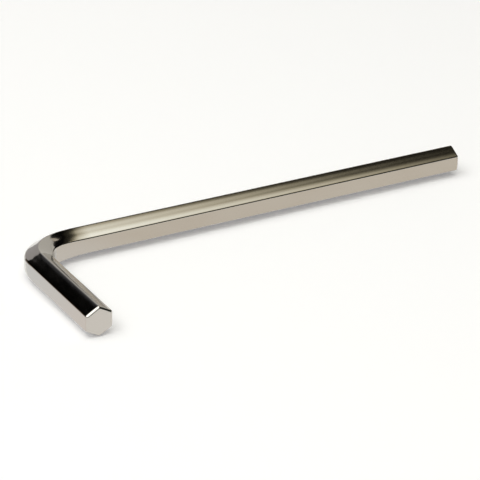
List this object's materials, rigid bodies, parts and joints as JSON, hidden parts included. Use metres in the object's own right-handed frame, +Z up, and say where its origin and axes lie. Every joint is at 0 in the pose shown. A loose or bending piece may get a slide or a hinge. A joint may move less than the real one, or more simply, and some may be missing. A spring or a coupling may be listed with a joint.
{
  "type": "hex key",
  "caption": "L-shaped key of bright plated hexagonal steel, with a long arm and a short arm joined by a cold bend, for turning hexagon socket screws.",
  "frame": {"origin": "on the surface that the key lies on, below the middle of its bounding box", "axes": "+X along the long arm towards its tip; the short arm points to -Y; +Z up, across the plane of the two arms"},
  "size_m": [0.075, 0.025, 0.0046],
  "materials": {
    "bright_nickel": "bright nickel plating over drawn steel: near mirror, slightly warm, with fine lines along the bar"
  },
  "bodies": {
    "root": {"hex_key": "bright_nickel"}
  },
  "joints": []
}
